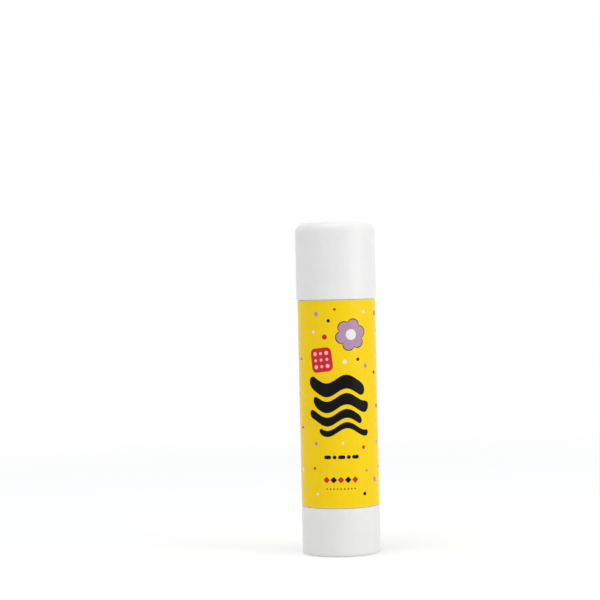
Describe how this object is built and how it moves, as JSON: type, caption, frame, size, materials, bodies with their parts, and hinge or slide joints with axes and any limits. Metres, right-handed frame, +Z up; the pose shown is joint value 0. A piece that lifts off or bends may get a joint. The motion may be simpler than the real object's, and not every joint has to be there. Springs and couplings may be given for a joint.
{
  "type": "glue stick",
  "caption": "Twist-up glue stick: knob and feed screw raise the glue in a labelled plastic barrel, under a pull-off cap.",
  "frame": {"origin": "centre of the foot ring that the stick stands on", "axes": "+Z up the stick's axis towards the cap, -Y towards the front of the label"},
  "size_m": [0.026, 0.026, 0.108],
  "materials": {
    "cap_plastic": "satin",
    "knob_plastic": "satin",
    "tube_plastic": "satin",
    "sleeve_plastic": "satin",
    "label_film": "gloss",
    "glue": "satin",
    "carrier_plastic": "satin",
    "spindle_plastic": "satin"
  },
  "bodies": {
    "barrel": {"inner_tube": "tube_plastic", "outer_sleeve": "sleeve_plastic", "label": "label_film"},
    "knob": {"knob": "knob_plastic", "spindle": "spindle_plastic"},
    "feed": {"carrier": "carrier_plastic", "glue": "glue"},
    "cap": {"cap": "cap_plastic"}
  },
  "joints": [
    {"name": "knob_turn", "type": "hinge", "parent": "barrel", "child": "knob", "pos_m": [0, 0, 0], "axis": [0, 0, 1], "range_deg": [0, 3420]},
    {"name": "glue_lift", "type": "slide", "parent": "barrel", "child": "feed", "axis": [0, 0, 1], "range_m": [0, 0.0665]},
    {"name": "cap_pull", "type": "slide", "parent": "feed", "child": "cap", "axis": [0, 0, 1], "range_m": [0, 0.04]}
  ],
  "couplings": [
    {"joint": "knob_turn", "follows": "glue_lift", "rad_per_m": 897.6}
  ]
}
